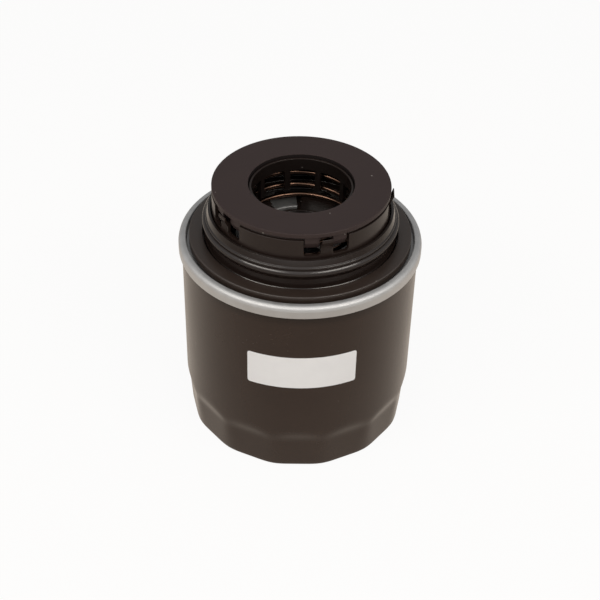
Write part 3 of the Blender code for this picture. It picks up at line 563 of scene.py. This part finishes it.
seamLow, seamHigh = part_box("seaming_lid")
canShape = {"radius": seamHigh.x - 1.06 * mm, "wall": 0.7 * mm, "top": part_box("can")[1].z,
            "baseRound": 1.0 * mm, "dishEdge": 25.9 * mm, "dishSlope": 4.0 * mm,
            "dishDepth": 1.2 * mm, "dishRound": 2 * mm, "pressReach": 9 * mm, "segments": 336,
            "step": 0.9 * mm}
flatShape = {"Depth": 1.12 * mm, "Lean": 0.055, "Height": 13.0 * mm, "Runout": 0.38, "Count": 14,
             "Turn": math.radians(1.3), "Soft": 1.1 * mm, "Ease": 0.13}


def makeCan(s):
    r, w, top = s["radius"], s["wall"], s["top"]
    edge, dish = s["dishEdge"], s["dishEdge"] - s["dishSlope"]
    deep, turn = s["dishDepth"], s["dishRound"]
    can = lathe("canShell", [
        (r - w, top, crisp), (r, top, crisp), (r, 0, s["baseRound"]), (edge, 0, turn),
        (dish, deep, turn), (0, deep, 0), (0, deep + w, 0), (dish, deep + w, turn),
        (edge, w, turn), (r - w, w, s["baseRound"] - w)], s["segments"], s["step"])
    return grown("canShell", flats, {**flatShape, "Radius": r, "Inside": r - s["pressReach"],
                                     "Finish": paint}, can)


can = makeCan(canShape)
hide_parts("can")
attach(can, "filter_body")

panelShape = {"left": -24.0, "right": 29.0, "low": 36.3 * mm, "high": 48.7 * mm, "corner": 0.9 * mm,
              "cornerSteps": 8, "proud": 0.04 * mm, "sunk": 0.1 * mm, "columns": 60}


def makePanel(s):  # the printed white panel: a thin skin on the can, its four corners rounded alike
    r, c, steps = canShape["radius"], s["corner"], s["cornerSteps"]
    back, face = r - s["sunk"], r + s["proud"]
    half = math.radians(s["right"] - s["left"]) / 2 * r
    middle = math.radians((s["left"] + s["right"]) / 2 - 90)
    corner = [half - c + c * math.sin(math.pi / 2 * k / steps) for k in range(steps + 1)]
    spots = [-u for u in reversed(corner)]
    spots += [(half - c) * (2 * k / s["columns"] - 1) for k in range(1, s["columns"])] + corner
    build = bmesh.new()
    columns = []
    for u in spots:
        over = max(0.0, abs(u) - (half - c))
        cut = c - math.sqrt(max(0.0, c * c - over * over))
        a, low, high = middle + u / r, s["low"] + cut, s["high"] - cut
        columns.append([build.verts.new((reach * math.cos(a), reach * math.sin(a), z))
                        for reach, z in ((back, low), (face, low), (face, high), (back, high))])
    for one, two in zip(columns, columns[1:]):
        for k in range(4):
            build.faces.new((one[k], one[(k + 1) % 4], two[(k + 1) % 4], two[k]))
    build.faces.new(columns[0])
    build.faces.new(columns[-1])
    return fromBmesh("printedPanel", build)


panel = makePanel(panelShape)
panel.data.materials.append(panelWhite)
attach(panel, "filter_body")
print("can ready")

lidShape = {"sheet": 0.6 * mm, "inner": 36.6 * mm, "floor": seamHigh.z - 2.1 * mm,
            "hook": canShape["radius"] + 0.1 * mm, "hookRise": 0.5 * mm, "hookBend": 1.2 * mm,
            "foldRound": 0.25 * mm, "foldInside": 0.3 * mm, "floorBend": 0.7 * mm,
            "stemBend": 0.5 * mm, "tongueInner": 15.1 * mm, "tongueOuter": 20.8 * mm,
            "tongueBend": 0.55 * mm, "tongueInside": 0.12 * mm, "tongues": 5, "tongueAngle": 28.0,
            "tongueTurn": 54.8, "holes": 10, "holeRadius": 2.3 * mm, "holeCircle": 24.0 * mm,
            "holeTurn": 16.8, "segments": 240}
seamLip = ((0.0, 0.2, 0.3), (0.3, 0.0, 0.5))  # mm out from the inner wall, mm down, rounding
seamCrest = ((1.0, 0.06, 1.8), (0.25, 0.7, 1.2), (0.0, 1.7, 2.0))  # mm in from the edge, down, rounding


def drilled(piece, s, low, high, sides=32):  # the ring of oil holes
    angles = [math.tau * k / sides for k in range(sides)]
    drill = [(s["holeCircle"] + s["holeRadius"] * math.cos(a), s["holeRadius"] * math.sin(a))
             for a in angles]
    holes = ringOf(prism("drill", drill, low, high), s["holes"], s["holeTurn"])
    return worked(piece, holes, "DIFFERENCE")


def makeLid(s):
    t, top, low = s["sheet"], seamHigh.z, seamLow.z
    outer, inner, floor, hook = seamHigh.x, s["inner"], s["floor"], s["hook"]
    tongueIn, tongueOut = s["tongueInner"], s["tongueOuter"]
    lip = [(inner + out * mm, top - down * mm, turn * mm) for out, down, turn in seamLip]
    crest = [(outer - back * mm, top - down * mm, turn * mm) for back, down, turn in seamCrest]
    lid = lathe("rolledLid", [
        (tongueIn, top, s["tongueBend"]), (tongueOut, top, soft), (tongueOut, top - t, crisp),
        (tongueIn + t, top - t, s["tongueInside"]), (tongueIn + t, floor, s["foldRound"]),
        (inner, floor, full), *lip, *crest, (outer, low, s["foldRound"]), (hook, low, crisp),
        (hook, low + s["hookRise"], crisp), (outer - t, low + s["hookBend"], full),
        (outer - t, top - t, t), (inner + t, top - t, s["foldInside"]),
        (inner + t, floor - t, s["floorBend"]), (tongueIn, floor - t, s["stemBend"])],
        s["segments"])
    gap = math.pi / s["tongues"] - math.radians(s["tongueAngle"]) / 2
    cut = prism("tongueGap", sector(tongueIn - past, tongueOut + past, gap, 24), floor + hair,
                top + past)
    worked(lid, ringOf(cut, s["tongues"], s["tongueTurn"] + 180 / s["tongues"]), "DIFFERENCE")
    return drilled(lid, s, floor - 2 * past, floor + past)


lid = makeLid(lidShape)
lid.data.materials.append(zinc)
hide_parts("seaming_lid")
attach(lid, "filter_body")
print("lid ready")

gasketLow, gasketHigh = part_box("flange_gasket")
gasketShape = {"width": 4.4 * mm, "edge": 0.35 * mm, "segments": 240}


def makeGasket(s):
    top, low, outer = gasketHigh.z, gasketLow.z, gasketHigh.x
    inner, e = outer - s["width"], s["edge"]
    return lathe("flangeGasketRing", [(inner, top, e), (outer, top, e), (outer, low, e), (inner, low, e)],
                 s["segments"])


gasket = makeGasket(gasketShape)
gasket.data.materials.append(gasketRubber)
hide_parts("flange_gasket")
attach(gasket, "filter_body")

plateLow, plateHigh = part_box("threaded_plate")
plateShape = {"thickness": 4.0 * mm, "rimRound": 0.5 * mm, "underRound": 0.3 * mm, "boss": 12.5 * mm,
              "bossRoot": 0.6 * mm, "bore": 9.4 * mm, "chamfer": 0.9 * mm, "pitch": 1.5875 * mm,
              "threadInset": 0.1 * mm, "threadSteps": 72, "holes": 10, "holeRadius": 2.5 * mm,
              "holeCircle": 24.0 * mm, "holeTurn": 16.8, "segments": 160}


def makePlate(s):
    outer, top, low = plateHigh.x, plateHigh.z, plateHigh.z - s["thickness"]
    c, bore, boss, foot = s["chamfer"], s["bore"], s["boss"], plateLow.z
    plate = lathe("threadedPlate", [
        (bore + c, top, crisp), (outer, top, s["rimRound"]), (outer, low, s["underRound"]),
        (boss, low, s["bossRoot"]), (boss, foot, full), (bore + c, foot, crisp),
        (bore, foot + c, crisp), (bore, top - c, crisp)], s["segments"])
    drilled(plate, s, low - past, top + past)
    first, last = foot + c, top - c
    thread = grown("mountingThread", coils, {  # a four-sided wire gives the ridge
        "Radius": bore + s["threadInset"], "Wire": s["pitch"] * 0.5, "Low": first, "High": last,
        "Sides": 4, "Steps": s["threadSteps"], "Turns": (last - first) / s["pitch"],
        "Start": 0.0, "Flat": 0.0, "Soft": 0.0})
    return worked(plate, thread, "UNION")


plate = makePlate(plateShape)
plate.data.materials.append(plateSteel)
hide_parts("threaded_plate")
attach(plate, "filter_body")
print("gasket and plate ready")

collarLow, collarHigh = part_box("neck_collar")
collarShape = {"lipBore": 28.55 * mm, "rim": 0.85 * mm, "rimEdge": 0.04 * mm, "lip": 2.9 * mm,
               "waist": 30.2 * mm, "bead": 31.3 * mm, "beadTop": 3.62 * mm, "beadLow": 4.5 * mm,
               "beadRound": 1.2 * mm, "flare": 0.5 * mm, "flareStep": 0.7 * mm,
               "flareRoot": 0.8 * mm, "flareEdge": 0.3 * mm, "foot": 30.9 * mm, "bore": 29.3 * mm,
               "stop": 71.9 * mm, "footBore": 27.0 * mm, "stemHole": 13.6 * mm, "floor": 0.9 * mm,
               "pads": 5, "padInner": 16.95 * mm, "padOuter": 20.45 * mm, "padHeight": 2.2 * mm,
               "padRoot": 0.45 * mm, "padHalfAngle": 19.0, "padTurn": 16.8, "slotInner": 0.2 * mm,
               "slotOuter": 0.9 * mm, "slotSide": 0.6, "ringCentre": 28.95 * mm,
               "ringHalf": 0.9 * mm, "holes": 10, "holeRadius": 2.3 * mm,
               "holeCircle": 24.0 * mm, "holeTurn": 16.8, "segments": 240}
collarShoulder = ((-0.3, 1.95, 0.2), (0.15, 2.3, 0.42), (0.15, 2.8, 0.2), (-0.1, 2.9, 0.1),
                  (0.5, 2.95, 0.5))  # mm out from the waist, mm down from the top, rounding
collarUnderBead = ((0.5, 5.5, 1.2), (0.0, 6.2, 1.0))  # the same measures, under the bead


def makeCollar(s):
    top, low = collarHigh.z, collarLow.z
    lip, waist, bead, foot, hole = s["lipBore"], s["waist"], s["bead"], s["foot"], s["stemHole"]
    lipLow, floor, flare = top - s["lip"], low + s["floor"], gasketHigh.z - s["flare"]
    near, far = s["ringCentre"] - s["ringHalf"], s["ringCentre"] + s["ringHalf"]
    groove = low + 2 * s["ringHalf"]
    shoulder, underBead = ([(waist + out * mm, top - down * mm, turn * mm) for out, down, turn in part]
                           for part in (collarShoulder, collarUnderBead))
    collar = lathe("neckCollar", [
        (lip, top, crisp), (lip + s["rim"], top, s["rimEdge"]), *shoulder,
        (bead, top - s["beadTop"], s["beadRound"]), (bead, top - s["beadLow"], s["beadRound"]),
        *underBead, (waist, flare, s["flareRoot"]), (foot, flare - s["flareStep"], s["flareEdge"]),
        (foot, low, soft), (far, low, crisp), (far, groove, soft), (near, groove, soft),
        (near, low, crisp), (hole, low, crisp), (hole, floor, small), (s["footBore"], floor, full),
        (s["footBore"], s["stop"], soft), (s["bore"], s["stop"], soft), (s["bore"], lipLow, soft),
        (lip, lipLow, soft)], s["segments"])
    pad = prism("springPad", sector(s["padInner"], s["padOuter"], math.radians(s["padHalfAngle"]), 16),
                floor - s["padRoot"], floor + s["padHeight"])
    worked(collar, ringOf(pad, s["pads"], s["padTurn"]), "UNION")
    tongue = lidShape["tongueInner"]
    side = math.radians(lidShape["tongueAngle"] / 2 + s["slotSide"])
    slot = prism("tongueSlot", sector(tongue - s["slotInner"], tongue + s["slotOuter"], side, 16),
                 low - past, floor + past)
    worked(collar, ringOf(slot, lidShape["tongues"], lidShape["tongueTurn"]), "DIFFERENCE")
    return drilled(collar, s, low - past, floor + past)


collar = makeCollar(collarShape)
collar.data.materials.append(collarPlastic)
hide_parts("neck_collar")
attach(collar, "filter_body")
print("collar ready")

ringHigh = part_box("sealing_ring")[1]
ringShape = {"bore": 16.7 * mm, "thickness": 1.5 * mm, "edge": 0.28 * mm, "boreEdge": 0.12 * mm,
             "groups": 5, "groupTurn": 16.8, "tabSpread": 18.4, "tabWidth": 4.5 * mm,
             "tabDrop": 2.5 * mm, "tabBack": 0.9 * mm, "tabRoot": 0.5 * mm,
             "tabThickness": 0.95 * mm, "hookDrop": 4.7 * mm, "hookFar": 0.5 * mm, "barb": 0.95 * mm,
             "barbDrop": 1.45 * mm, "barbFace": 1.4 * mm, "barbRound": 0.3 * mm, "segments": 240,
             "step": 1.2 * mm}
sleeveShape = {"flangeLow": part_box("valve_sleeve")[0].z, "flange": 29.0 * mm,
               "flangeThickness": 1.1 * mm, "radius": ringHigh.x, "wall": 1.1 * mm,
               "web": 0.8 * mm, "webRound": 0.3 * mm, "rimTop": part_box("valve_sleeve")[1].z,
               "rimStand": 0.7 * mm, "rimInner": 15.65 * mm, "rimOuter": 16.35 * mm,
               "rimEdge": 0.12 * mm, "legs": 10, "legAngle": 6.8, "legOuter": 16.95 * mm,
               "legLength": 10.2 * mm, "legRound": 0.25 * mm, "tubeDepth": 2.7 * mm,
               "windowWidth": 5.2 * mm, "sill": 5.1 * mm, "windowCorner": 0.9 * mm,
               "notch": 25.9 * mm, "shoulder": 0.6 * mm, "ledge": 0.2 * mm,
               "fingerWidth": 3.5 * mm, "fingerLean": 1.05 * mm, "fingerLength": 3.5 * mm,
               "fingerDrop": 0.2 * mm, "fingerBite": 0.6 * mm, "fingerFoot": 0.05 * mm,
               "fingerTip": 0.9 * mm, "fingerEdge": 0.2 * mm, "fingerRise": 1.5 * mm,
               "fingerSeat": 1.4 * mm, "fingerRoom": 1.3 * mm, "segments": 240}


def makeSleeve(s, ring):
    r, low, rimTop, rimIn, rimOut = s["radius"], s["flangeLow"], s["rimTop"], s["rimInner"], s["rimOuter"]
    webTop = rimTop - s["rimStand"]
    webLow = webTop - s["web"]
    bore = r - s["wall"]
    ledge, step = bore + s["ledge"], webTop - s["shoulder"]
    flange, flangeTop = s["flange"], low + s["flangeThickness"]
    leg, legLow = s["legOuter"], webLow - s["legLength"]
    sleeve = lathe("slidingSleeve", [
        (rimIn, rimTop, s["rimEdge"]), (rimOut, rimTop, s["rimEdge"]), (rimOut, webTop, crisp),
        (ledge, webTop, crisp), (ledge, step, crisp), (r, step, small), (r, flangeTop, soft),
        (flange, flangeTop, small), (flange, low, small), (bore, low, small),
        (bore, webLow, s["webRound"]), (leg, webLow, s["webRound"]), (leg, legLow, s["legRound"]),
        (rimIn, legLow, s["legRound"])], s["segments"])
    gap = math.pi / s["legs"] - math.radians(s["legAngle"]) / 2
    slot = prism("legGap", sector(rimIn - past, leg + past, gap, 12), legLow - past,
                 webLow - s["tubeDepth"])
    worked(sleeve, ringOf(slot, s["legs"], ring["groupTurn"] + 180 / s["legs"]), "DIFFERENCE")
    half, c = s["windowWidth"] / 2, s["windowCorner"]
    sill, head = low + s["sill"], rimTop + past
    outline = rounded([(half, sill, c), (half, head, 0), (-half, head, 0), (-half, sill, c)])
    window = prism("snapWindow", outline, s["notch"], r + past, facing)
    windows = ringOf(window, ring["groups"], ring["groupTurn"], 2, ring["tabSpread"])
    worked(sleeve, windows, "DIFFERENCE")
    foot, top = webTop - s["fingerLength"], webTop - s["fingerDrop"]
    room = prism("fingerRoom", sector(bore - crisp, r + past, math.radians(ring["tabSpread"] / 2), 8),
                 foot + s["fingerRoom"], head)
    worked(sleeve, ringOf(room, ring["groups"], ring["groupTurn"]), "DIFFERENCE")
    root, lean, edge = r - s["fingerBite"], r + s["fingerLean"], s["fingerEdge"]
    outline = rounded([
        (root, foot, 0), (r - s["fingerFoot"], foot, 0), (lean, top - s["fingerTip"], full),
        (lean - edge, top, crisp), (lean - 2 * edge, top, crisp),
        (r + crisp, foot + s["fingerRise"], soft), (root, foot + s["fingerSeat"], 0)])
    half = s["fingerWidth"] / 2
    finger = prism("leaningFinger", outline, -half, half, upright)
    return worked(sleeve, ringOf(finger, ring["groups"], ring["groupTurn"]), "UNION")


def makeRing(s):
    top, low = ringHigh.z, ringHigh.z - s["thickness"]
    outer, bore = ringHigh.x, s["bore"]
    ring = lathe("sealingRing", [(bore, top, s["boreEdge"]), (outer, top, s["edge"]),
                                 (outer, low, crisp), (bore, low, crisp)], s["segments"], s["step"])
    tabOut = outer - s["tabBack"]
    tabIn = tabOut - s["tabThickness"]
    barb, barbTop = tabIn - s["barb"], low - s["barbDrop"]
    root, hook = low + s["tabRoot"], low - s["hookDrop"]
    outline = rounded([
        (tabIn, root, 0), (tabIn, barbTop, crisp), (barb, barbTop, crisp),
        (barb, barbTop - s["barbFace"], s["barbRound"]), (tabIn - s["hookFar"], hook, small),
        (tabIn - small, hook, small), (tabOut, low - s["tabDrop"], small), (tabOut, root, 0)])
    half = s["tabWidth"] / 2
    tab = prism("snapTab", outline, -half, half, upright)
    tabs = ringOf(tab, s["groups"], s["groupTurn"], 2, s["tabSpread"])
    return worked(ring, tabs, "UNION")


sleeve = makeSleeve(sleeveShape, ringShape)
sleeve.data.materials.append(sleevePlastic)
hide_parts("valve_sleeve")
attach(sleeve, "seal_piston")
sealRing = makeRing(ringShape)
sealRing.data.materials.append(ringPlastic)
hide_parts("sealing_ring")
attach(sealRing, "seal_piston")
print("sleeve and ring ready")


def makeCoil(name, s, low, high, look):
    w = s["wire"]
    return grown(name, coils, {
        "Radius": s["mean"], "Wire": w, "Low": low.z + w, "High": high.z - w, "Turns": s["turns"],
        "Start": math.radians(s["start"]), "Flat": s["flat"], "Soft": s["soft"],
        "Sides": s["sides"], "Steps": s["steps"], "Finish": look})


springLow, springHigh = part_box("seal_spring")
springShape = {"wire": 0.8 * mm, "mean": 18.55 * mm, "turns": 3.7, "start": 59.0, "flat": 0.5,
               "soft": 0.08, "sides": 20, "steps": 96, "travel": 3.0 * mm}
spring = makeCoil("sealCoil", springShape, springLow, springHigh, bronzeWire)
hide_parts("seal_spring")
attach(spring, "filter_body")
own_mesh(spring)

bypassLow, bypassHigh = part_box("bypass_spring")
bypassShape = {"wire": 0.5 * mm, "mean": 4.5 * mm, "turns": 4.5, "start": 0.0, "flat": 0.5,
               "soft": 0.08, "sides": 14, "steps": 48, "travel": 2.5 * mm}
bypassCoil = makeCoil("bypassCoil", bypassShape, bypassLow, bypassHigh, sheetSteel)
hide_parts("bypass_spring")
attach(bypassCoil, "filter_body")
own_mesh(bypassCoil)
print("springs ready")

innerFinish = {"neck_o_ring": oRingRubber, "anti_drain_valve": valveRubber, "upper_end_cap": sheetSteel,
               "lower_end_cap": sheetSteel, "centre_tube": sheetSteel, "pleated_media": filterPaper,
               "pleat_seam_clip": sheetSteel, "bypass_cage": sheetSteel, "bypass_poppet": sheetSteel,
               "bypass_seal": oRingRubber, "element_spring": leafSteel}
for node, look in innerFinish.items():
    nodes[node].data.materials.clear()
    nodes[node].data.materials.append(look)
print("inner pieces dressed")

viewShape = {"lens": 74.108, "sensor": 36.0, "near": 0.01, "distance": 413.73 * mm,
             "elevation": 38.381, "roll": 1.412, "target": (0.44 * mm, 0, 41.48 * mm)}


def makeCamera(s):
    camera = bpy.data.objects.new("camera", bpy.data.cameras.new("camera"))
    camera.data.lens = s["lens"]
    camera.data.sensor_width = s["sensor"]
    camera.data.sensor_fit = "HORIZONTAL"
    camera.data.clip_start = s["near"]
    e = math.radians(s["elevation"])
    away = Vector((0, -math.cos(e), math.sin(e))) * s["distance"]
    look = (-away).to_track_quat("-Z", "Y").to_matrix().to_4x4()
    roll = Matrix.Rotation(math.radians(s["roll"]), 4, "Z")
    camera.matrix_world = Matrix.Translation(Vector(s["target"]) + away) @ look @ roll
    scene.collection.objects.link(camera)
    scene.camera = camera


makeCamera(viewShape)

stageShape = {"floorSize": 3.0, "floorTone": (0.92, 0.86, 0.78, 1), "floorRough": 0.9,
              "floorShine": (0.98, 0.86, 0.74, 1), "floorDepth": (-0.10, 0.0),
              "floorLevel": (0.54, 0.87), "fadeReach": (0.18, 0.34), "fadeLevel": (1.0, 0.4),
              "floorWhite": 0.93, "sky": 0.36, "shownSky": (0.85, 0.36), "behind": 1.1, "above": 0.85,
              "lampTint": (1.0, 0.94, 0.86), "lampAway": 0.9, "lampAim": (0, 0, 0.05),
              "sidePower": 2.6, "sideSize": (0.62, 0.16), "sideTurn": 44.0, "sideRise": 43.0,
              "frontPower": 0.25, "frontSize": (0.90, 0.50), "frontRise": 62.0}


def makeFloor(s):
    build = bmesh.new()
    bmesh.ops.create_circle(build, cap_ends=True, radius=s["floorSize"] / 2, segments=96)
    floor = fromBmesh("studioFloor", build)
    look, graph, shader = finish("paleFloor", Base_Color=s["floorTone"], Roughness=s["floorRough"],
                                 Specular_IOR_Level=0.0)
    ray = graph.add("ShaderNodeLightPath", out="Is Camera Ray")
    seen = ray + ray.out("Is Glossy Ray") + ray.out("Is Transmission Ray")
    x = graph.add("ShaderNodeSeparateXYZ", sockets={0: objectPlace(graph)}, out="X")
    y = x.out("Y")
    level = mapped(graph, y, s["floorDepth"], s["floorLevel"])
    away = x.calc("SQRT", x * x + y * y)
    level = level * mapped(graph, away, s["fadeReach"], s["fadeLevel"])
    # the camera sees it white with a faint shadow; reflections show it warmer, and dimmer in front
    tint = blend(graph, ray, s["floorShine"], (1, 1, 1, 1))
    white = graph.add("ShaderNodeEmission",
                      sockets={"Color": tint, "Strength": level + ray * (1 - level)})
    share = ray.calc("MINIMUM", seen, 1.0) * s["floorWhite"]
    both = graph.add("ShaderNodeMixShader",
                     sockets={0: share, 1: Wire(graph, shader.outputs[0]), 2: white})
    graph.tree.links.new(both.socket, graph.tree.nodes["Material Output"].inputs["Surface"])
    floor.data.materials.append(look)


def makeLamp(s, name, turn, rise, size, power):
    aside, up = math.radians(turn), math.radians(rise)
    way = Vector((math.sin(aside) * math.cos(up), -math.cos(aside) * math.cos(up), math.sin(up)))
    spot = way * s["lampAway"]
    lamp = bpy.data.objects.new(name, bpy.data.lights.new(name, "AREA"))
    lamp.data.shape = "RECTANGLE"
    lamp.data.size, lamp.data.size_y = size
    lamp.data.energy = power
    lamp.data.color = s["lampTint"]
    aim = (Vector(s["lampAim"]) - spot).to_track_quat("-Z", "Y").to_matrix().to_4x4()
    lamp.matrix_world = Matrix.Translation(spot) @ aim
    scene.collection.objects.link(lamp)


def makeLamps(s):
    for name, turn in (("leftSoftbox", -s["sideTurn"]), ("rightSoftbox", s["sideTurn"])):
        makeLamp(s, name, turn, s["sideRise"], s["sideSize"], s["sidePower"])
    makeLamp(s, "frontSoftbox", 0.0, s["frontRise"], s["frontSize"], s["frontPower"])


def makeWorld(s):
    world = bpy.data.worlds.new("whiteRoom")
    scene.world = world
    world.use_nodes = True
    world.node_tree.nodes.clear()
    graph = Graph(world.node_tree)
    ray = graph.add("ShaderNodeLightPath", out="Is Camera Ray")
    y = graph.add("ShaderNodeSeparateXYZ", sockets={0: objectPlace(graph)}, out="Y")
    turned = y * s["behind"] + y.out("Z") * s["above"]  # the room dims behind and above
    back = mapped(graph, turned, (0.0, 1.0), s["shownSky"], interpolation_type="SMOOTHSTEP")
    shown = ray.out("Is Glossy Ray") + ray.out("Is Transmission Ray")
    strength = s["sky"] + ray * (1 - s["sky"]) + shown * (back - s["sky"])
    room = graph.add("ShaderNodeBackground", sockets={
        "Color": (1, 1, 1, 1), "Strength": ray.calc("MINIMUM", strength, 1.0)})
    graph.add("ShaderNodeOutputWorld", sockets={"Surface": room})


makeFloor(stageShape)
makeLamps(stageShape)
makeWorld(stageShape)
scene.view_settings.view_transform = "Standard"
print("stage ready")
